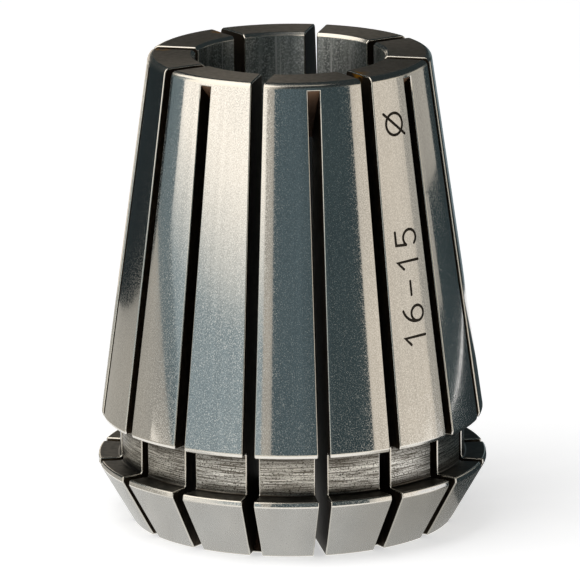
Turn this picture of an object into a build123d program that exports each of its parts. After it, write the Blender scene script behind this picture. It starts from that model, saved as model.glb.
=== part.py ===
from build123d import *

import os
from math import radians, sqrt, tan

# A spring collet for a tapered spindle: one turned and ground steel sleeve, sawn
# lengthwise into springy segments. Millimetres, with the collet's axis on Z.
# The front face, which the clamping nut presses, lies on z = 0, and the small end
# of the long cone points up.

# Turned and ground form
overall_length = 40.0
bore_diameter = 16.0
bore_chamfer = 0.25
flange_diameter = 33.0
flange_thickness = 5.5
flange_rim_height = 0.45
flange_rim_chamfer = 0.12
nut_cone_half_angle = 30.0
front_edge_radius = 0.25
seat_cone_inside_flange = 0.275
seat_cone_half_angle = 8.0
seat_cone_lower_chamfer = 0.4
small_end_edge_radius = 0.5
groove_depth_below_seat_cone = 1.625
groove_width = 3.6
groove_corner_radius = 0.2

# Saw cuts: half of the slots open at the front face and half at the small end
slots_per_end = 8
slot_width = 1.0
saw_diameter = 50.0
saw_depth_past_bore_wall = 4.0
saw_overrun = 1.0
front_slot_end_below_small_end = 0.65
back_slot_breakout_inside_front_edge = 1.0

bore_radius = bore_diameter / 2
flange_radius = flange_diameter / 2
rim_bottom_z = flange_thickness - flange_rim_height
nut_cone_slope = tan(radians(nut_cone_half_angle))
front_face_radius = flange_radius - rim_bottom_z * nut_cone_slope
groove_top_z = flange_thickness + groove_width
seat_cone_slope = tan(radians(seat_cone_half_angle))
seat_cone_length = overall_length - groove_top_z
seat_cone_large_radius = flange_radius - seat_cone_inside_flange
seat_cone_small_radius = seat_cone_large_radius - seat_cone_length * seat_cone_slope
groove_radius = seat_cone_large_radius - groove_depth_below_seat_cone

# The slitting saw's axis stays this far from the collet's axis as it travels
saw_radius = saw_diameter / 2
saw_axis_radius = bore_radius - saw_depth_past_bore_wall + saw_radius


def saw_half_chord(radius):
    """Height of the blade's rim above its axis, at this radius of the collet."""
    return sqrt(saw_radius**2 - (saw_axis_radius - radius) ** 2)


# Front slots: the blade's arc leaves the seat cone just below the small end
front_slot_end_z = overall_length - front_slot_end_below_small_end
front_slot_end_radius = (
    seat_cone_small_radius + front_slot_end_below_small_end * seat_cone_slope
)
front_saw_stop_z = front_slot_end_z - saw_half_chord(front_slot_end_radius)
front_saw_travel = front_saw_stop_z + saw_overrun

# Back slots: the blade's arc comes out of the front face just inside its edge
back_slot_breakout_radius = front_face_radius - back_slot_breakout_inside_front_edge
back_saw_stop_z = saw_half_chord(back_slot_breakout_radius)
back_saw_travel = overall_length + saw_overrun - back_saw_stop_z

# The space swept by the saw for one front slot
with BuildPart() as front_saw_cut:
    with BuildSketch(Plane.XZ):
        with Locations((saw_axis_radius, front_saw_stop_z - front_saw_travel / 2)):
            SlotCenterToCenter(front_saw_travel, saw_diameter, rotation=90)
    extrude(amount=slot_width / 2, both=True)

# The space swept by the saw for one back slot
with BuildPart() as back_saw_cut:
    with BuildSketch(Plane.XZ):
        with Locations((saw_axis_radius, back_saw_stop_z + back_saw_travel / 2)):
            SlotCenterToCenter(back_saw_travel, saw_diameter, rotation=90)
    extrude(amount=slot_width / 2, both=True)

with BuildPart() as collet:
    # Half section from the bore's front edge, round the outside, to its back edge
    with BuildSketch(Plane.XZ):
        with BuildLine():
            Polyline(
                (bore_radius, 0),
                (front_face_radius, 0),
                (flange_radius, rim_bottom_z),
                (flange_radius, flange_thickness),
                (groove_radius, flange_thickness),
                (groove_radius, groove_top_z),
                (seat_cone_large_radius, groove_top_z),
                (seat_cone_small_radius, overall_length),
                (bore_radius, overall_length),
                close=True,
            )
        make_face()
    revolve(axis=Axis.Z)

    # Edge breaks, from the front face up
    turned_edges = collet.edges().filter_by(GeomType.CIRCLE).group_by(Axis.Z)
    front_edges = turned_edges[0].sort_by(SortBy.RADIUS)
    flange_top_edges = turned_edges[2].sort_by(SortBy.RADIUS)
    groove_top_edges = turned_edges[3].sort_by(SortBy.RADIUS)
    small_end_edges = turned_edges[4].sort_by(SortBy.RADIUS)
    chamfer([front_edges[0], small_end_edges[0]], bore_chamfer)
    fillet(front_edges[-1], front_edge_radius)
    chamfer(flange_top_edges[-1], flange_rim_chamfer)
    fillet([flange_top_edges[0], groove_top_edges[0]], groove_corner_radius)
    chamfer(groove_top_edges[-1], seat_cone_lower_chamfer)
    fillet(small_end_edges[-1], small_end_edge_radius)

    # Front slots, and back slots halfway between them; one front slot faces -Y
    slot_pitch = 360 / slots_per_end
    with PolarLocations(0, slots_per_end, start_angle=-90):
        add(front_saw_cut.part, mode=Mode.SUBTRACT)
    with PolarLocations(0, slots_per_end, start_angle=-90 + slot_pitch / 2):
        add(back_saw_cut.part, mode=Mode.SUBTRACT)

collet.part.label = "collet"

os.makedirs("parts", exist_ok=True)
export_step(collet.part, "parts/collet.step")
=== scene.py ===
from math import asin, atan2, ceil, cos, hypot, pi, radians, sin, sqrt, tan

import bpy
import numpy as np
from mathutils import Matrix, Vector
from mathutils.geometry import delaunay_2d_cdt


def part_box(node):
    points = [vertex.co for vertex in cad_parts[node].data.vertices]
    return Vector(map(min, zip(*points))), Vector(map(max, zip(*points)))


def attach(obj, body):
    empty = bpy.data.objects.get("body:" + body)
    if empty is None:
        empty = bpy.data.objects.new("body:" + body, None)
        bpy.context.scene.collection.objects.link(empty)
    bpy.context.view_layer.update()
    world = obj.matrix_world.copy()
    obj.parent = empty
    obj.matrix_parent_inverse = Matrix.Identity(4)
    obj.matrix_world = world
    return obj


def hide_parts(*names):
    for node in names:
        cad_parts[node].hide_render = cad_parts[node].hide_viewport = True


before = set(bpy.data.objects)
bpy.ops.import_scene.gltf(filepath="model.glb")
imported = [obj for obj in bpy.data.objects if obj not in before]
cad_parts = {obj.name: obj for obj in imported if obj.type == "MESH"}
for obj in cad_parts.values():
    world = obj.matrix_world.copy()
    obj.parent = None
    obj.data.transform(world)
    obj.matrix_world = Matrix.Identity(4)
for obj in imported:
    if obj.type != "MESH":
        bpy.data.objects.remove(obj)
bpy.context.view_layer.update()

# Sleeve: the collet is one piece of hardened spring steel, turned from bar, with its two
# outer cones, rim and bore ground after hardening. Its section is drawn here as a closed
# loop of stations, in millimetres; the mesh turns them to metres.
MM = 0.001
OVERALL_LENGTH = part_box("collet")[1].z / MM
BORE_RADIUS = 8.0
BORE_CHAMFER = 0.25
FLANGE_RADIUS = 16.5
FLANGE_THICKNESS = 5.5
RIM_BOTTOM = FLANGE_THICKNESS - 0.45
NUT_CONE_SLOPE = tan(radians(30))
FRONT_FACE_RADIUS = FLANGE_RADIUS - RIM_BOTTOM * NUT_CONE_SLOPE
GROOVE_TOP = FLANGE_THICKNESS + 3.6
SEAT_CONE_SLOPE = tan(radians(8))
SEAT_CONE_LARGE_RADIUS = FLANGE_RADIUS - 0.275
SEAT_CONE_SMALL_RADIUS = SEAT_CONE_LARGE_RADIUS - (OVERALL_LENGTH - GROOVE_TOP) * SEAT_CONE_SLOPE
GROOVE_RADIUS = SEAT_CONE_LARGE_RADIUS - 1.625
LEAD_HEIGHT = 0.32
LEAD_DEPTH = 0.15
RIM_TAPER = (FLANGE_THICKNESS - RIM_BOTTOM) * SEAT_CONE_SLOPE
FINE_EDGE = 0.14
LONGEST_STEP = 1.6
ARC_STEP = radians(20)

# The blade that saws the slots, and the places where its arc ends each one
SLOT_PAIRS = 8
SLOT_WIDTH = 1.0
SLOT_PITCH = pi / SLOT_PAIRS
FIRST_SLOT = -pi / 2
EDGE_BREAK = 0.11
SAW_RADIUS = 25.0
SAW_AXIS_RADIUS = BORE_RADIUS - 4.0 + SAW_RADIUS
FRONT_SLOT_END = OVERALL_LENGTH - 0.65
BACK_SLOT_BREAKOUT = FRONT_FACE_RADIUS - 1.0


def seat_cone_radius(z):
    return SEAT_CONE_SMALL_RADIUS + (OVERALL_LENGTH - z) * SEAT_CONE_SLOPE


def half_chord(radius):
    """Height of the blade's rim above its axis at this radius of the collet."""
    return sqrt(SAW_RADIUS**2 - (SAW_AXIS_RADIUS - radius) ** 2)


FRONT_SAW_Z = FRONT_SLOT_END - half_chord(seat_cone_radius(FRONT_SLOT_END))
BACK_SAW_Z = half_chord(BACK_SLOT_BREAKOUT)
FRONT_SLOT_BORE_END = FRONT_SAW_Z + half_chord(BORE_RADIUS)
BACK_SLOT_BORE_END = BACK_SAW_Z - half_chord(BORE_RADIUS)

# Corners of the section, from the bore's front edge round the outside and back
# down the bore: radius, height, rounding, finish of the run that follows, name
LEAD_TOP = GROOVE_TOP + LEAD_HEIGHT
CORNERS = [
    (BORE_RADIUS + BORE_CHAMFER, 0, FINE_EDGE, "faced", ""),
    (BACK_SLOT_BREAKOUT - EDGE_BREAK, 0, 0, "faced", "back slot, front end"),
    (FRONT_FACE_RADIUS, 0, 0.25, "nut cone", ""),
    (FLANGE_RADIUS, RIM_BOTTOM, 0.25, "rim", ""),
    (FLANGE_RADIUS - RIM_TAPER, FLANGE_THICKNESS, FINE_EDGE, "flange top", ""),
    (GROOVE_RADIUS, FLANGE_THICKNESS, 0.2, "groove", ""),
    (GROOVE_RADIUS, GROOVE_TOP, 0.2, "groove", ""),
    (SEAT_CONE_LARGE_RADIUS - LEAD_DEPTH, GROOVE_TOP, FINE_EDGE, "edge", ""),
    (seat_cone_radius(LEAD_TOP), LEAD_TOP, 0.3, "seat cone", ""),
    (
        seat_cone_radius(FRONT_SLOT_END + EDGE_BREAK),
        FRONT_SLOT_END + EDGE_BREAK,
        0,
        "seat cone",
        "front slot, back end",
    ),
    (SEAT_CONE_SMALL_RADIUS, OVERALL_LENGTH, 0.5, "faced", ""),
    (BORE_RADIUS + BORE_CHAMFER, OVERALL_LENGTH, FINE_EDGE, "edge", ""),
    (BORE_RADIUS, OVERALL_LENGTH - BORE_CHAMFER, FINE_EDGE, "bore", ""),
    (BORE_RADIUS, FRONT_SLOT_BORE_END + EDGE_BREAK, 0, "bore", "front slot, bore end"),
    (BORE_RADIUS, BACK_SLOT_BORE_END - EDGE_BREAK, 0, "bore", "back slot, bore end"),
    (BORE_RADIUS, BORE_CHAMFER, FINE_EDGE, "edge", ""),
]


def section_stations():
    """The section as stations (radius, height, normal, finish of the next run), and
    the index of each named one. Corners are rounded, and long runs are divided."""
    stations, named = [], {}
    for i, (radius, height, rounding, finish, name) in enumerate(CORNERS):
        here = Vector((radius, height))
        before = (here - Vector(CORNERS[i - 1][:2])).normalized()
        after_corner = Vector(CORNERS[(i + 1) % len(CORNERS)][:2])
        after = (after_corner - here).normalized()
        turn = before.angle_signed(after) * -1
        reach = rounding * tan(abs(turn) / 2)
        if name:
            named[name] = len(stations)
        if rounding == 0:
            stations.append((here, Vector((after.y, -after.x)), finish))
        else:
            side = 1 if turn > 0 else -1
            first_normal = Vector((before.y, -before.x))
            centre = here - before * reach - first_normal * rounding * side
            steps = max(2, ceil(abs(turn) / ARC_STEP))
            arc_finish = "groove" if side < 0 else "edge"
            for k in range(steps + 1):
                normal = Matrix.Rotation(turn * k / steps, 2) @ first_normal
                stations.append(
                    (centre + normal * rounding * side, normal, finish if k == steps else arc_finish)
                )
        next_rounding = CORNERS[(i + 1) % len(CORNERS)][2]
        start = stations[-1][0]
        following = Vector(CORNERS[(i + 2) % len(CORNERS)][:2]) - after_corner
        next_reach = next_rounding * tan(after.angle(following.normalized()) / 2)
        length = (after_corner - start).length - next_reach
        for k in range(1, ceil(length / LONGEST_STEP)):
            place = start + after * length * k / ceil(length / LONGEST_STEP)
            stations.append((place, Vector((after.y, -after.x)), finish))
    return stations, named


stations, named_station = section_stations()

# Saw slots
# Eight slots run in from each end, alternately, so the sleeve can close on a shank.
# A round blade cut them along the axis, and their edges were then brushed round.
SEGMENTS = 2 * SLOT_PAIRS
COLUMNS = 14
WEB_COLUMNS = 4
BREAK_ROWS = 3
ARC_ROWS = 12
HALF_SLOT = SLOT_WIDTH / 2
OPENED_HALF = HALF_SLOT + EDGE_BREAK

vertices, vertex_normals = [], []
faces, face_finishes, face_normals = [], [], []


def add_vertex(position, normal):
    vertices.append(position)
    vertex_normals.append(normal)
    return len(vertices) - 1


def add_face(corners, finish, normals=None):
    """A face; normals are those of its corners, where they aren't its vertices' own."""
    faces.append(corners)
    face_finishes.append(finish)
    face_normals.append(normals)


def around(radius, height, angle):
    return Vector((radius * cos(angle), radius * sin(angle), height))


def ring_vertex(station, angle):
    place, normal, _ = stations[station]
    return add_vertex(around(place.x, place.y, angle), around(normal.x, normal.y, angle))


def slot_angle(slot):
    return FIRST_SLOT + slot * SLOT_PITCH


def beside_slot(slot, radius, offset):
    """The angle of a point at this radius, offset sideways from a slot's middle plane."""
    return slot_angle(slot) + asin(offset / radius)


def station_run(first, last):
    """Station indices from first to last, going on round the loop."""
    count = len(stations)
    return [k % count for k in range(first, last + 1 + (count if last < first else 0))]


# Outside of each segment, as columns of vertices at every station
segment_vertex = {}
for segment in range(SEGMENTS):
    for station, (place, _, _) in enumerate(stations):
        start = beside_slot(segment, place.x, OPENED_HALF)
        end = beside_slot(segment + 1, place.x, -OPENED_HALF)
        for column in range(COLUMNS + 1):
            angle = start + (end - start) * column / COLUMNS
            segment_vertex[segment, station, column] = ring_vertex(station, angle)

# The range number is engraved on one segment's seat cone, whose faces there are left
# out here and come with the engraving
MARKED_SEGMENT = 1
ENGRAVED_FROM, ENGRAVED_TO = 15.5, 38.5
engraved_stations = [
    k
    for k, (place, _, finish) in enumerate(stations)
    if finish == "seat cone" and ENGRAVED_FROM < place.y < ENGRAVED_TO
]


def is_engraved(segment, station):
    return segment == MARKED_SEGMENT and station in engraved_stations[:-1]


for station, (_, _, finish) in enumerate(stations):
    above = (station + 1) % len(stations)
    for segment in range(SEGMENTS):
        if is_engraved(segment, station):
            continue
        for column in range(COLUMNS):
            add_face(
                (
                    segment_vertex[segment, station, column],
                    segment_vertex[segment, station, column + 1],
                    segment_vertex[segment, above, column + 1],
                    segment_vertex[segment, above, column],
                ),
                finish,
            )


def add_slot(slot, first, last, saw_z):
    """One slot, open from station first round to station last: the web that is left
    across it, its rounded edges, its two walls and the arc where the blade stopped."""
    cut = station_run(first, last)
    web = station_run(last, first)
    web_vertex = {}
    for station in web:
        web_vertex[station, 0] = segment_vertex[(slot - 1) % SEGMENTS, station, COLUMNS]
        web_vertex[station, WEB_COLUMNS] = segment_vertex[slot % SEGMENTS, station, 0]
        for k in range(1, WEB_COLUMNS):
            offset = OPENED_HALF * (2 * k / WEB_COLUMNS - 1)
            angle = beside_slot(slot, stations[station][0].x, offset)
            web_vertex[station, k] = ring_vertex(station, angle)
    for station, above in zip(web, web[1:]):
        for k in range(WEB_COLUMNS):
            add_face(
                (
                    web_vertex[station, k],
                    web_vertex[station, k + 1],
                    web_vertex[above, k + 1],
                    web_vertex[above, k],
                ),
                stations[station][2],
            )

    # The slot's mouth as a closed ring: up one side, across, down the other and back.
    # Each point has its station, sideways offset, and ways towards the opening.
    sideways = [OPENED_HALF * (2 * k / WEB_COLUMNS - 1) for k in range(WEB_COLUMNS + 1)]
    mouth = [(k, -OPENED_HALF, 0) for k in cut]
    mouth[0], mouth[-1] = (first, -OPENED_HALF, 1), (last, -OPENED_HALF, -1)
    mouth += [(last, offset, -1) for offset in sideways[1:-1]]
    mouth += [(k, OPENED_HALF, 0) for k in reversed(cut)]
    mouth[-len(cut)], mouth[-1] = (last, OPENED_HALF, -1), (first, OPENED_HALF, 1)
    mouth += [(first, offset, 1) for offset in sideways[-2:0:-1]]
    outer = [segment_vertex[(slot - 1) % SEGMENTS, k, COLUMNS] for k in cut]
    outer += [web_vertex[last, k] for k in range(1, WEB_COLUMNS)]
    outer += [segment_vertex[slot % SEGMENTS, k, 0] for k in reversed(cut)]
    outer += [web_vertex[first, k] for k in range(WEB_COLUMNS - 1, 0, -1)]

    middle = slot_angle(slot)
    sideways_axis = around(1, 0, middle + pi / 2)
    rows = [outer]
    for row in range(1, BREAK_ROWS + 1):
        turn = pi / 2 * row / BREAK_ROWS
        ring = []
        for station, offset, along in mouth:
            place, normal, _ = stations[station]
            forward = Vector((-normal.y, normal.x)) * along
            section = place + forward * EDGE_BREAK * sin(turn) - normal * EDGE_BREAK * (1 - cos(turn))
            moved = offset * (1 - EDGE_BREAK * sin(turn) / OPENED_HALF)
            angle = beside_slot(slot, section.x, moved)
            inward = around(forward.x, forward.y, middle)
            if abs(offset) == OPENED_HALF:
                inward -= sideways_axis * (1 if offset > 0 else -1)
            surface = around(normal.x, normal.y, angle)
            bent = surface * cos(turn) + inward.normalized() * sin(turn)
            ring.append(add_vertex(around(section.x, section.y, angle), bent))
        rows.append(ring)
    for lower, upper in zip(rows, rows[1:]):
        for q in range(len(mouth)):
            following = (q + 1) % len(mouth)
            add_face((lower[q], upper[q], upper[following], lower[following]), "slot edge")

    # Where the blade stopped: an arc from one end of the opening to the other
    inner = rows[-1]
    far_end = [inner[len(cut) - 1 + k] for k in range(WEB_COLUMNS + 1)]
    near_end = [inner[0]] + [inner[-k] for k in range(1, WEB_COLUMNS + 1)]
    saw_axis = Vector((SAW_AXIS_RADIUS, saw_z))

    def arc_angle(vertex):
        place = vertices[vertex]
        from_axis = Vector((hypot(place.x, place.y), place.z)) - saw_axis
        return atan2(from_axis.y, -from_axis.x)

    start, end = arc_angle(far_end[0]), arc_angle(near_end[0])
    arc = [far_end]
    for row in range(1, ARC_ROWS):
        turn = start + (end - start) * row / ARC_ROWS
        out = saw_axis.x - SAW_RADIUS * cos(turn)
        height = saw_axis.y + SAW_RADIUS * sin(turn)
        arc.append(
            [
                add_vertex(
                    around(out, height, middle) + sideways_axis * offset * HALF_SLOT / OPENED_HALF,
                    around(cos(turn), -sin(turn), middle),
                )
                for offset in sideways
            ]
        )
    arc.append(near_end)
    for row, (upper, lower) in enumerate(zip(arc, arc[1:])):
        turns = [start + (end - start) * r / ARC_ROWS for r in (row, row + 1)]
        here, there = (around(cos(turn), -sin(turn), middle) for turn in turns)
        for k in range(WEB_COLUMNS):
            add_face(
                (upper[k], lower[k], lower[k + 1], upper[k + 1]),
                "slot end",
                (here, there, there, here),
            )

    # The two sawn walls
    left = inner[: len(cut)] + [row[0] for row in arc[1:-1]]
    right = inner[len(cut) + WEB_COLUMNS - 1 : 2 * len(cut) + WEB_COLUMNS - 1]
    right = right[::-1] + [row[-1] for row in arc[1:-1]]
    add_face(tuple(reversed(left)), "slot wall", (sideways_axis,) * len(left))
    add_face(tuple(right), "slot wall", (-sideways_axis,) * len(right))


for slot in range(0, SEGMENTS, 2):
    first, last = named_station["front slot, bore end"], named_station["front slot, back end"]
    add_slot(slot, first, last, FRONT_SAW_Z)
    first, last = named_station["back slot, front end"], named_station["back slot, bore end"]
    add_slot(slot + 1, first, last, BACK_SAW_Z)

# Range marking
# The range of shanks that the collet holds, in millimetres, with a diameter sign, is
# engraved by machine in thin single strokes up one segment, read from the nut end.
STROKE = 0.24
STROKE_DEPTH = 0.05
DIGIT_HEIGHT = 2.3
DIGIT_STEP = 2.1
NUMBER_START = 17.0
SIGN_HEIGHT = 35.9
OFF_CENTRE = 0.13


def arc_points(centre_x, centre_y, radius_x, radius_y, start, end, steps=12):
    """Points on an ellipse between two angles in degrees, in a digit's unit box."""
    turns = [radians(start + (end - start) * k / steps) for k in range(steps + 1)]
    return [(centre_x + radius_x * cos(t), centre_y + radius_y * sin(t)) for t in turns]


# Each sign is drawn upright in a box one unit high, its foot at 0 and its middle at x 0
SIGNS = {
    "1": [[(-0.2, 0.74), (0.06, 1.0), (0.06, 0.0)]],
    "5": [
        [(0.26, 1.0), (-0.22, 1.0), (-0.26, 0.52)],
        arc_points(-0.02, 0.32, 0.3, 0.32, 142, -140),
    ],
    "6": [
        arc_points(-0.02, 0.3, 0.28, 0.3, 180, 0),
        arc_points(-0.02, 0.3, 0.28, 0.3, 0, -180),
        arc_points(0.3, 0.36, 0.6, 0.64, 184, 106),
    ],
    "-": [[(-0.25, 0.5), (0.25, 0.5)]],
    "diameter": [
        arc_points(0, 0.5, 0.4, 0.4, 180, 0),
        arc_points(0, 0.5, 0.4, 0.4, 0, -180),
        [(-0.42, 0.02), (0.42, 0.98)],
    ],
}


def stroke_outline(points):
    """The outline of a round-ended stroke along these points."""
    points = [Vector(p) for p in points]
    half = STROKE / 2
    left, right = [], []
    for i, point in enumerate(points):
        before = (point - points[i - 1]).normalized() if i else None
        after = (points[i + 1] - point).normalized() if i + 1 < len(points) else None
        way = ((before or after) + (after or before)).normalized()
        spread = half / max(0.5, way.dot(after or before))
        across = Vector((-way.y, way.x)) * spread
        left.append(point + across)
        right.append(point - across)
    caps = []
    for point, way in ((points[-1], points[-1] - points[-2]), (points[0], points[0] - points[1])):
        start = atan2(way.y, way.x) + pi / 2
        turns = [start - pi * k / 6 for k in range(1, 6)]
        caps.append([point + Vector((cos(t), sin(t))) * half for t in turns])
    return (left + caps[0] + right[::-1] + caps[1])[::-1]


# The patch is laid out flat: x across the segment, y up the cone from its lowest station
middle_angle = (slot_angle(MARKED_SEGMENT) + slot_angle(MARKED_SEGMENT + 1)) / 2
patch_low = stations[engraved_stations[0]][0]
cone_normal = stations[engraved_stations[0]][1]
cone_way = Vector((-cone_normal.y, cone_normal.x))


def to_cone(flat, depth):
    """A point of the flat layout on the seat cone, this deep under its surface."""
    section = patch_low + cone_way * flat.y
    angle = middle_angle + flat.x / section.x
    section = section - cone_normal * depth
    return around(section.x, section.y, angle), around(cone_normal.x, cone_normal.y, angle)


def to_flat(vertex):
    place = vertices[vertex]
    up = (place.z - patch_low.y) / cone_way.y
    radius = hypot(place.x, place.y)
    return Vector((radius * (atan2(place.y, place.x) - middle_angle), up))


border = [segment_vertex[MARKED_SEGMENT, engraved_stations[0], c] for c in range(COLUMNS)]
border += [segment_vertex[MARKED_SEGMENT, k, COLUMNS] for k in engraved_stations[:-1]]
border += [segment_vertex[MARKED_SEGMENT, engraved_stations[-1], c] for c in range(COLUMNS, 0, -1)]
border += [segment_vertex[MARKED_SEGMENT, k, 0] for k in reversed(engraved_stations[1:])]

strokes = []
text = list("16-15")
placed = [(sign, NUMBER_START + DIGIT_STEP * (k + 0.5)) for k, sign in enumerate(text)]
placed.append(("diameter", SIGN_HEIGHT))
for sign, height in placed:
    up = (height - patch_low.y) / cone_way.y
    for points in SIGNS[sign]:
        turned = [(OFF_CENTRE - (y - 0.5) * DIGIT_HEIGHT, up + x * DIGIT_HEIGHT) for x, y in points]
        strokes.append(stroke_outline(turned))

flat_points = [to_flat(v) for v in border]
loops = [list(range(len(border)))]
for outline in strokes:
    loops.append(list(range(len(flat_points), len(flat_points) + len(outline))))
    flat_points += outline
stroke_points = np.array([p for outline in strokes for p in outline])
for station in engraved_stations[1:-1]:
    for column in range(1, COLUMNS):
        inside = to_flat(segment_vertex[MARKED_SEGMENT, station, column])
        if np.hypot(*(stroke_points - np.array(inside)).T).min() > STROKE:
            flat_points.append(inside)

flat, _, triangles, origins, _, loops_of = delaunay_2d_cdt(flat_points, [], loops, 1, 1e-7, True)
top, floor = {}, {}
for k, point in enumerate(flat):
    on_border = [i for i in origins[k] if i < len(border)]
    if on_border:
        top[k] = border[on_border[0]]
triangles = [triangle for triangle, own in zip(triangles, loops_of) if own]
in_stroke = [any(loop > 0 for loop in own) for own in loops_of if own]
for marked, triangle in zip(in_stroke, triangles):
    layer, depth = (floor, STROKE_DEPTH) if marked else (top, 0)
    for k in triangle:
        if k not in layer:
            layer[k] = add_vertex(*to_cone(flat[k], depth))
    add_face(tuple(layer[k] for k in triangle), "engraving" if marked else "seat cone")
edges_of_floor = {
    (a, b)
    for marked, triangle in zip(in_stroke, triangles)
    if marked
    for a, b in zip(triangle, triangle[1:] + triangle[:1])
}
for a, b in edges_of_floor:
    if (b, a) not in edges_of_floor:
        wall = [vertices[v] for v in (top[a], top[b], floor[b])]
        facing = (wall[1] - wall[0]).cross(wall[2] - wall[1]).normalized()
        add_face((top[a], top[b], floor[b], floor[a]), "engraving", (facing,) * 4)

# Steel finishes
# All of it is one steel, and each surface keeps the marks of how it was finished: the
# cones and bore ground, the groove turned, the ends faced and the slots sawn.


def linear(code):
    """An sRGB hex colour as linear red, green, blue and alpha."""
    shares = [int(code[k : k + 2], 16) / 255 for k in (1, 3, 5)]
    return [c / 12.92 if c <= 0.04045 else ((c + 0.055) / 1.055) ** 2.4 for c in shares] + [1.0]


def add_node(tree, kind, inputs=None, **settings):
    """A node with its settings. Inputs go by name, or by number where two share a name,
    and each is a value, a socket to link from, or a node, whose output in use is linked."""
    node = tree.nodes.new(kind)
    for name, value in settings.items():
        setattr(node, name, value)
    in_use = [socket for socket in node.inputs if socket.enabled]
    for key, value in (inputs or {}).items():
        socket = in_use[key] if isinstance(key, int) else next(s for s in in_use if s.name == key)
        if isinstance(value, bpy.types.Node):
            value = next(output for output in value.outputs if output.enabled)
        if isinstance(value, bpy.types.NodeSocket):
            tree.links.new(value, socket)
        else:
            socket.default_value = value
    return node


def start_material(name):
    material = bpy.data.materials.new(name)
    material.use_nodes = True
    material.node_tree.nodes.clear()
    return material, material.node_tree


def start_steel(name):
    material, tree = start_material(name)
    return material, tree, add_node(tree, "ShaderNodeTexCoord").outputs["Object"]


def finish_steel(tree, colour, surface, roughness, anisotropy):
    """Bare steel, with the bright direction of its grinding lines round the axis."""
    steel = {
        "Metallic": 1.0,
        "Base Color": colour,
        "Normal": surface,
        "Roughness": roughness,
        "Anisotropic": anisotropy,
        "Anisotropic Rotation": 0.25,
        "Tangent": add_node(tree, "ShaderNodeTangent", direction_type="RADIAL", axis="Z"),
    }
    shader = add_node(tree, "ShaderNodeBsdfPrincipled", steel)
    add_node(tree, "ShaderNodeOutputMaterial", {"Surface": shader})


def marks(tree, place, size, detail=1.0):
    """Uneven marks about this many millimetres wide, deep and high, from 0 to 1."""
    scale = [1 / (s * MM) for s in size]
    scaled = add_node(tree, "ShaderNodeMapping", {"Vector": place, "Scale": scale})
    return add_node(tree, "ShaderNodeTexNoise", {"Vector": scaled, "Scale": 1.0, "Detail": detail})


def shade(tree, pattern, low, high, first, second):
    """A colour that passes from the first to the second as the marks go from low to high.
    The first is a hex colour or what another call gave."""
    share = add_node(tree, "ShaderNodeMapRange", {"Value": pattern, "From Min": low, "From Max": high})
    start = linear(first) if isinstance(first, str) else first
    colours = {"Factor": share, "A": start, "B": linear(second)}
    return add_node(tree, "ShaderNodeMix", colours, data_type="RGBA")


# Dried amber oil, by slot and radius, on the small end beside a few slots
OIL_SPOTS = [(9, 10.4), (11, 10.8), (13, 12.6), (1, 9.8)]
OIL_REACH = 1.0


def oiled(tree, place, steel):
    """A steel's colour with a thin patchy film of old oil at those spots."""
    nearest = OIL_REACH * MM
    for slot, radius in OIL_SPOTS:
        spot = around(radius, OVERALL_LENGTH, slot_angle(slot) + HALF_SLOT / radius) * MM
        away = add_node(tree, "ShaderNodeVectorMath", {0: place, 1: spot}, operation="DISTANCE")
        nearest = add_node(tree, "ShaderNodeMath", {0: nearest, 1: away}, operation="MINIMUM")
    ends = {"From Min": OIL_REACH * MM, "From Max": 0.3 * OIL_REACH * MM}
    film = add_node(tree, "ShaderNodeMapRange", {"Value": nearest, **ends})
    thickness = marks(tree, place, (0.5, 0.5, 0.5), 2.0)
    patches = add_node(tree, "ShaderNodeMapRange", {"Value": thickness, "From Min": 0.4, "From Max": 0.6})
    share = add_node(tree, "ShaderNodeMath", {0: film, 1: patches}, operation="MULTIPLY")
    return shade(tree, share, 0, 1, steel, "#C48A2A")


DULLER = 0.2


def ground_steel(name, roughness, light, dark, fleck):
    """Hardened spring steel, cylindrically ground and lapped. It is nearly a mirror, with
    lines round the axis, a slight chatter that bends what it mirrors, and a fine dull
    speckle, drawn about a tenth of a millimetre across so that it shows."""
    material, tree, place = start_steel(name)
    lines = marks(tree, place, (9, 9, 0.22), 3.0)
    chatter = marks(tree, place, (4, 4, 1.4))
    speckle = marks(tree, place, (0.08, 0.08, 0.11))
    cloud = marks(tree, place, (4, 4, 9), 3.0)
    bumps = add_node(tree, "ShaderNodeBump", {"Height": lines, "Distance": 0.0001 * MM})
    bumps = add_node(tree, "ShaderNodeBump", {"Height": chatter, "Distance": 0.0012 * MM, "Normal": bumps})
    bumps = add_node(tree, "ShaderNodeBump", {"Height": speckle, "Distance": 0.0002 * MM, "Normal": bumps})
    steel = shade(tree, cloud, 0.35, 0.65, light, dark)
    steel = shade(tree, speckle, 0.4, 0.7, steel, fleck)
    ends = {"From Min": 0.45, "From Max": 0.75, "To Min": roughness, "To Max": roughness + DULLER}
    dulled = add_node(tree, "ShaderNodeMapRange", {"Value": speckle, **ends})
    finish_steel(tree, steel, bumps, dulled, 0.5)
    return material


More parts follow.
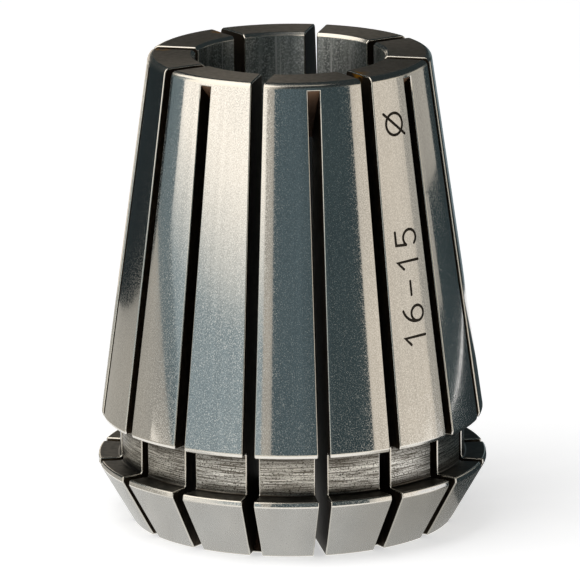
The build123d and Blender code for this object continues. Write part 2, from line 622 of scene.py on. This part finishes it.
def turned_steel():
    """The same steel as the lathe left it: fine bright and dark rings, drawn coarser than
    the tool's feed so that they show. It darkens to a dark brown towards the groove's
    two corners, under the seat cone's lip and down by the flange: painted shade, over
    the brown scale left there."""
    material, tree, place = start_steel("turned_spring_steel")
    rings = marks(tree, place, (3, 3, 0.06), 2.0)
    grit = marks(tree, place, (0.14, 0.14, 0.09))
    height = add_node(tree, "ShaderNodeSeparateXYZ", {"Vector": place}).outputs["Z"]
    bumps = add_node(tree, "ShaderNodeBump", {"Height": rings, "Distance": 0.01 * MM})
    bumps = add_node(tree, "ShaderNodeBump", {"Height": grit, "Distance": 0.006 * MM, "Normal": bumps})
    steel = shade(tree, rings, 0.42, 0.58, "#706B63", "#E6E3DC")
    steel = shade(tree, grit, 0.5, 0.3, steel, "#4A463E")
    # Painted shade: darker brown towards both corners of the groove, over its brown scale
    for painted_shade_from, painted_shade_full in ((GROOVE_TOP - 1.3, GROOVE_TOP), (FLANGE_THICKNESS + 0.9, FLANGE_THICKNESS)):
        steel = shade(tree, height, painted_shade_from * MM, painted_shade_full * MM, steel, "#35302A")
    finish_steel(tree, steel, bumps, 0.32, 0.3)
    return material


def faced_steel():
    """Steel faced square and left with its dull brown-grey skin from tempering. It is
    even and matt, with faint mottling."""
    material, tree, place = start_steel("faced_tempered_steel")
    mottle = marks(tree, place, (0.5, 0.5, 0.5), 3.0)
    bumps = add_node(tree, "ShaderNodeBump", {"Height": mottle, "Distance": 0.008 * MM})
    skin = oiled(tree, place, shade(tree, mottle, 0.3, 0.7, "#756F68", "#8C867D"))
    finish_steel(tree, skin, bumps, 0.55, 0.3)
    return material


def painted_shade_flange_steel():
    """The flange's back face, turned, in a near-black brown with faint mottling: painted shade for its
    place under the seat cone's lip.
    """
    material, tree, place = start_steel("turned_painted_shade_steel")
    mottle = marks(tree, place, (0.6, 0.6, 0.3), 3.0)
    bumps = add_node(tree, "ShaderNodeBump", {"Height": mottle, "Distance": 0.015 * MM})
    # Painted shade: the near-black colour stands for the shade under the seat cone's lip
    scale = shade(tree, mottle, 0.35, 0.65, "#24221E", "#4E4B44")
    finish_steel(tree, scale, bumps, 0.45, 0.3)
    return material


def bore_steel():
    """The bore, ground to grip a shank and worn along its length: a grey half mirror,
    mottled, with faint streaks from shanks that have slid in and out, and thin bright
    lines along it that are painted reflections of the bright edges of its mouth."""
    material, tree, place = start_steel("ground_bore_steel")
    streaks = marks(tree, place, (0.5, 0.5, 9), 2.0)
    painted_reflection_lines = marks(tree, place, (0.3, 0.3, 20))
    mottle = marks(tree, place, (0.16, 0.16, 0.16))
    bumps = add_node(tree, "ShaderNodeBump", {"Height": streaks, "Distance": 0.004 * MM})
    bumps = add_node(tree, "ShaderNodeBump", {"Height": mottle, "Distance": 0.002 * MM, "Normal": bumps})
    steel = shade(tree, streaks, 0.35, 0.65, "#8A9090", "#B6BCBC")
    # Painted reflection: thin bright lines along the bore
    steel = shade(tree, painted_reflection_lines, 0.66, 0.74, steel, "#F2F4F4")
    steel = shade(tree, mottle, 0.45, 0.7, steel, "#DCE0E0")
    finish_steel(tree, steel, bumps, 0.3, 0.8)
    return material


def sawn_steel(name, dark, light, painted_light_at_opening):
    """A slot's sawn surface with its hardening scale on, dull and brown. Towards the small
    end, where the slot opens, it passes to the colour given last, much lighter on the slot
    ends: painted light there, and painted shade deeper in the slot. The arcs of tooth marks
    are too fine to draw, so only their grain is."""
    material, tree, place = start_steel(name)
    mottle = marks(tree, place, (0.3, 0.3, 0.8), 3.0)
    height = add_node(tree, "ShaderNodeSeparateXYZ", {"Vector": place}).outputs["Z"]
    bumps = add_node(tree, "ShaderNodeBump", {"Height": mottle, "Distance": 0.01 * MM})
    scale = shade(tree, mottle, 0.3, 0.7, dark, light)
    # Painted light: towards the small end the colour passes to the lighter one given, so deeper in the
    # slot reads darker as painted shade
    scale = shade(tree, height, (FRONT_SLOT_END - 2.6) * MM, FRONT_SLOT_END * MM, scale, painted_light_at_opening)
    finish_steel(tree, oiled(tree, place, scale), bumps, 0.55, 0.0)
    return material


def brushed_edge_steel():
    """Edges brushed round after hardening: bright, fine and a little soft in their shine."""
    material, tree, place = start_steel("brushed_edge_steel")
    scratches = marks(tree, place, (0.2, 0.2, 0.2))
    bumps = add_node(tree, "ShaderNodeBump", {"Height": scratches, "Distance": 0.003 * MM})
    finish_steel(tree, linear("#E2DED6"), bumps, 0.2, 0.0)
    return material


def engraved_steel():
    """The bottom of an engraved stroke: burnt dark and rough, so it reads nearly black."""
    material, tree, place = start_steel("engraved_burnt_steel")
    grit = marks(tree, place, (0.08, 0.08, 0.08))
    bumps = add_node(tree, "ShaderNodeBump", {"Height": grit, "Distance": 0.01 * MM})
    burn = shade(tree, grit, 0.3, 0.7, "#2A2622", "#4A443D")
    finish_steel(tree, burn, bumps, 0.6, 0.0)
    return material


seat_cone_steel = ground_steel("ground_seat_cone_steel", 0.05, "#D0CDC8", "#C4C3C0", "#ECEAE6")
nut_cone_steel = ground_steel("ground_nut_cone_steel", 0.16, "#C9C6C1", "#BEBDBA", "#D0CECA")
edge_steel = brushed_edge_steel()
FINISHES = {
    "seat cone": seat_cone_steel,
    "nut cone": nut_cone_steel,
    "rim": seat_cone_steel,
    "groove": turned_steel(),
    "flange top": painted_shade_flange_steel(),
    "faced": faced_steel(),
    "bore": bore_steel(),
    "edge": edge_steel,
    "slot edge": edge_steel,
    # The last colour of each sawn finish is painted light towards the small end
    "slot wall": sawn_steel("sawn_scaled_steel", "#241E18", "#4A4034", "#3A322A"),
    "slot end": sawn_steel("sawn_burnt_steel", "#3C2E25", "#5C4A3E", "#B08E76"),
    "engraving": engraved_steel(),
}

mesh = bpy.data.meshes.new("collet_steel")
mesh.from_pydata([v * MM for v in vertices], [], faces)
materials = list(dict.fromkeys(FINISHES.values()))
for material in materials:
    mesh.materials.append(material)
mesh.polygons.foreach_set("material_index", [materials.index(FINISHES[f]) for f in face_finishes])
corner_normals = [
    normal
    for corners, own in zip(faces, face_normals)
    for normal in (own or [vertex_normals[v] for v in corners])
]
mesh.polygons.foreach_set("use_smooth", [True] * len(faces))
mesh.normals_split_custom_set(corner_normals)
steel_collet = bpy.data.objects.new("steel_collet", mesh)
bpy.context.scene.collection.objects.link(steel_collet)
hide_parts("collet")
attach(steel_collet, "root")

# Camera
# A long lens, a little above the small end, just left of the slot that faces -Y.
CAMERA_AZIMUTH = radians(-9.42)
CAMERA_ELEVATION = radians(14.4)
CAMERA_ROLL = radians(-0.39)
CAMERA_DISTANCE = 601.6
CAMERA_SIDE, CAMERA_RISE = -0.10, -0.51
LENS_PIXELS, FRAME_PIXELS = 7121, 580
AIM = Vector((0, 0, OVERALL_LENGTH / 2))

back = Vector(
    (
        sin(CAMERA_AZIMUTH) * cos(CAMERA_ELEVATION),
        -cos(CAMERA_AZIMUTH) * cos(CAMERA_ELEVATION),
        sin(CAMERA_ELEVATION),
    )
)
camera = bpy.data.objects.new("camera", bpy.data.cameras.new("camera"))
bpy.context.scene.collection.objects.link(camera)
bpy.context.scene.camera = camera
camera.data.sensor_width = 36
camera.data.lens = LENS_PIXELS / FRAME_PIXELS * camera.data.sensor_width
camera.data.clip_start, camera.data.clip_end = 0.01, 10
turn = (-back).to_track_quat("-Z", "Y") @ Matrix.Rotation(CAMERA_ROLL, 3, "Z").to_quaternion()
right, up = turn @ Vector((1, 0, 0)), turn @ Vector((0, 1, 0))
camera.rotation_mode = "QUATERNION"
camera.rotation_quaternion = turn
camera.location = (AIM + back * CAMERA_DISTANCE + right * CAMERA_SIDE + up * CAMERA_RISE) * MM

# Studio: a white sheet on a table in a white room. Round the collet stand plain boards that
# only its shine sees: white over grey on the left, cream on the right, and dark cloth in
# front, behind and overhead. Each is one flat tone, or fades from one to another.
FLOOR_RADIUS = 3.0
FLOOR_GLOW = 0.5
WALL_RADIUS, WALL_TOP = 110, 110
CARD_STRENGTH = 1.6
BRUSHING = 0.08
MAT_HEIGHT = 0.05


def from_camera(azimuth):
    """Degrees round from the camera, to the right, as an angle about the axis."""
    return CAMERA_AZIMUTH + radians(azimuth) - pi / 2


def on_wall(azimuth, height, layer=0):
    return around(WALL_RADIUS - layer, height, from_camera(azimuth))


def laid_out(side, front, height):
    """A point this far to the camera's right and this far towards it."""
    return around(side, 0, from_camera(90)) + around(front, height, from_camera(0))


def stage_object(name, points, corners, material):
    shape = bpy.data.meshes.new(name)
    shape.from_pydata([Vector(p) * MM for p in points], [], corners)
    shape.materials.append(material)
    thing = bpy.data.objects.new(name, shape)
    bpy.context.scene.collection.objects.link(thing)
    return thing


def seen_as_white(tree):
    """1 for what the camera sees, straight or in metal or glass, and 0 for other light."""
    rays = add_node(tree, "ShaderNodeLightPath").outputs
    kinds = {0: rays["Is Camera Ray"], 1: rays["Is Glossy Ray"]}
    seen = add_node(tree, "ShaderNodeMath", kinds, operation="MAXIMUM")
    return add_node(tree, "ShaderNodeMath", {0: seen, 1: rays["Is Transmission Ray"]}, operation="MAXIMUM")


# A matt paper sheet. It looks white by its own glow and the room's light together, and
# it keeps the collet's soft shadow.
floor_material, tree = start_material("white_sheet")
glow = add_node(tree, "ShaderNodeMapRange", {"Value": seen_as_white(tree), "To Max": FLOOR_GLOW})
own = add_node(tree, "ShaderNodeEmission", {"Strength": glow})
lit = add_node(tree, "ShaderNodeBsdfDiffuse", {"Color": linear("#E6E6E6")})
both = add_node(tree, "ShaderNodeAddShader", {0: lit, 1: own})
add_node(tree, "ShaderNodeOutputMaterial", {"Surface": both})
edge = FLOOR_RADIUS / MM
sheet_corners = [(-edge, -edge, 0), (edge, -edge, 0), (edge, edge, 0), (-edge, edge, 0)]
stage_object("floor", sheet_corners, [(0, 1, 2, 3)], floor_material)

card_points, card_faces, card_tones = [], [], []


def add_card(corners, *tones):
    """A card between these points, of one tone or of one at each corner."""
    start = len(card_points)
    card_points.extend(corners)
    card_faces.append(tuple(range(start, start + len(corners))))
    card_tones.extend(tones * (len(corners) // len(tones)))


# The boards' stock, from white board to black cloth
WHITE = linear("#F0EAE0")
PAPER = linear("#D8D2C8")
CREAM = linear("#BCB5AA")
STONE = linear("#94918A")
PALE_GREY = linear("#B2B2B0")
COOL_GREY = linear("#7E8B90")
PEWTER = linear("#606C70")
SLATE = linear("#48555A")
DUSK = linear("#343F42")
BLACK = linear("#202628")

# Boards bent round a rail: azimuths and heights from edge to edge, and the tones at the
# foot's left and right and the head's right and left
BOARD_TOP = 60
RAIL = [
    ((-102, -88), (-1, WALL_TOP), (PEWTER, PEWTER, PEWTER, PEWTER)),
    ((-88, -17), (-1, 20), (COOL_GREY, COOL_GREY, COOL_GREY, COOL_GREY)),
    ((-88, -17), (20, 34), (COOL_GREY, COOL_GREY, WHITE, WHITE)),
    ((-88, -17), (34, WALL_TOP), (WHITE, WHITE, WHITE, WHITE)),
    ((-17, -11.5), (-1, WALL_TOP), (STONE, STONE, CREAM, CREAM)),
    ((-11.5, 6), (-1, BOARD_TOP), (SLATE, SLATE, SLATE, SLATE)),
    ((6, 24), (-1, BOARD_TOP), (SLATE, DUSK, DUSK, SLATE)),
    ((24, 46), (-1, BOARD_TOP), (DUSK, DUSK, DUSK, DUSK)),
    ((46, 90), (-1, BOARD_TOP), (CREAM, CREAM, CREAM, CREAM)),
    ((90, 99), (-1, BOARD_TOP), (STONE, STONE, STONE, STONE)),
    ((99, 165), (-1, BOARD_TOP), (DUSK, BLACK, BLACK, DUSK)),
    ((-11.5, 165), (BOARD_TOP, WALL_TOP), (BLACK, BLACK, BLACK, BLACK)),
]
RAIL_STEP = 4
for azimuths, (foot, head), (low_left, low_right, high_right, high_left) in RAIL:
    count = ceil((azimuths[1] - azimuths[0]) / RAIL_STEP)
    for k in range(count):
        shares = k / count, (k + 1) / count
        left, right = (azimuths[0] + (azimuths[1] - azimuths[0]) * share for share in shares)
        low = [Vector(low_left).lerp(Vector(low_right), share) for share in shares]
        high = [Vector(high_left).lerp(Vector(high_right), share) for share in shares]
        corners = [on_wall(left, foot), on_wall(right, foot), on_wall(right, head), on_wall(left, head)]
        add_card(corners, low[0], low[1], high[1], high[0])

# What leans on the rail: paper at the foot of the bright boards and dark cloth between
# them, a strip at the far left and two stands at the far right, by azimuth and height
LEANING = [
    (STONE, [(-102, -1), (-66, -1), (-72, 6), (-102, 20)]),
    (PEWTER, [(-100, 20), (-70, 4), (-71, 12), (-92, 26)]),
    (WHITE, [(-90, -1), (-26, -1), (-26, 3.4), (-90, 3.4)]),
    (DUSK, [(-11, -1), (28, -1), (28, 5), (-11, 5)]),
    (PAPER, [(42, -1), (86, -1), (86, 3.4), (42, 3.4)]),
    (STONE, [(103, 22), (129, 18), (129, 60), (103, 60)]),
    (STONE, [(103, 10), (111, 9), (111, 20), (103, 22)]),
]
for layer, (tone, corners) in enumerate(LEANING):
    add_card([on_wall(azimuth, height, 1 + layer / 10) for azimuth, height in corners], tone)

# What lies on the sheet: a small mat under the collet, whose tones fall to black on the
# right as a painted shadow of the collet, and mats beyond it, one of them a dark painted
# shadow to the right and behind, by side and front
BOARD_FRONT = -86
BOARD_HALF = 420
LYING = [
    ((PALE_GREY,), [(-19, 19), (0, 19), (0, -19), (-19, -19)]),
    # Painted shadow: pale grey falling to black at the right and behind
    ((PALE_GREY, STONE, BLACK, PALE_GREY), [(0, 19), (19, 19), (19, -19), (0, -19)]),
    ((STONE,), [(-BOARD_HALF, BOARD_FRONT), (-26, BOARD_FRONT), (-26, 30), (-BOARD_HALF, 30)]),
    ((PAPER, STONE), [(-110, 110), (-110, 30), (110, 30), (110, 110)]),
    # Painted shadow: a dark mat to the right of the collet and behind it
    ((BLACK, DUSK), [(20, 10), (112, -10), (60, -95), (0, -30)]),
]
for tones, corners in LYING:
    add_card([laid_out(side, front, MAT_HEIGHT) for side, front in corners], *tones)

# The black board that stands behind, with two cards against it, by tone, reach from it,
# height and sides; and the ceiling, with a lamp's white cloth and a small card
BEHIND = [
    (BLACK, 0, WALL_TOP, (-BOARD_HALF, BOARD_HALF)),
    (CREAM, 2, 50, (-46, -14)),
    (PEWTER, 2, 50, (22, 40)),
]
for tone, reach, top_height, sides in BEHIND:
    foot = [laid_out(side, BOARD_FRONT + reach, 0) for side in sides]
    head = [laid_out(side, BOARD_FRONT + reach, top_height) for side in reversed(sides)]
    add_card(foot + head, tone)
CEILING = [
    (
        BLACK,
        0,
        [
            (-BOARD_HALF, BOARD_FRONT),
            (BOARD_HALF, BOARD_FRONT),
            (BOARD_HALF, BOARD_HALF),
            (-BOARD_HALF, BOARD_HALF),
        ],
    ),
    (WHITE, 1, [(-170, -50), (-18, -50), (-10, 90), (-170, 90)]),
    (STONE, 1, [(-10, 30), (30, 30), (30, 55), (-10, 55)]),
]
for tone, below, corners in CEILING:
    add_card([laid_out(side, front, WALL_TOP - below) for side, front in corners], tone)

# The boards are painted with a brush, up and down, so their tone varies in faint streaks
card_material, tree = start_material("studio_cards")
tone = add_node(tree, "ShaderNodeVertexColor", layer_name="tone")
place = add_node(tree, "ShaderNodeTexCoord").outputs["Object"]
ends = {
    "From Min": 0.3,
    "From Max": 0.7,
    "To Min": (1 - BRUSHING) * CARD_STRENGTH,
    "To Max": (1 + BRUSHING) * CARD_STRENGTH,
}
strength = add_node(tree, "ShaderNodeMapRange", {"Value": marks(tree, place, (4, 4, 40), 3.0), **ends})
own = add_node(tree, "ShaderNodeEmission", {"Color": tone, "Strength": strength})
add_node(tree, "ShaderNodeOutputMaterial", {"Surface": own})
cards = stage_object("studio_cards", card_points, card_faces, card_material)
layer = cards.data.color_attributes.new("tone", "FLOAT_COLOR", "POINT")
layer.data.foreach_set("color", np.array([tuple(tone) for tone in card_tones]).ravel())
cards.visible_camera = False
cards.visible_diffuse = False
cards.visible_shadow = False
cards.visible_transmission = False

# The room's even white light, and one soft lamp above the collet, to its left
ROOM_LIGHT = 0.55
LAMP_AZIMUTH = -60
LAMP_REACH, LAMP_HEIGHT = 0.25, 0.5
LAMP_SIZE = 0.35
LAMP_POWER = 1.2
LAMP_AIM = Vector((0, 0, 0.02))

world = bpy.data.worlds.new("white_room")
bpy.context.scene.world = world
world.use_nodes = True
tree = world.node_tree
tree.nodes.clear()
strength = add_node(tree, "ShaderNodeMapRange", {"Value": seen_as_white(tree), "To Min": ROOM_LIGHT})
air = add_node(tree, "ShaderNodeBackground", {"Strength": strength})
add_node(tree, "ShaderNodeOutputWorld", {"Surface": air})

lamp = bpy.data.objects.new("overhead_lamp", bpy.data.lights.new("overhead_lamp", "AREA"))
bpy.context.scene.collection.objects.link(lamp)
lamp.data.size = LAMP_SIZE
lamp.data.energy = LAMP_POWER
lamp.location = around(LAMP_REACH, LAMP_HEIGHT, from_camera(LAMP_AZIMUTH))
lamp.rotation_euler = (LAMP_AIM - lamp.location).to_track_quat("-Z", "Y").to_euler()

bpy.context.scene.view_settings.view_transform = "Standard"
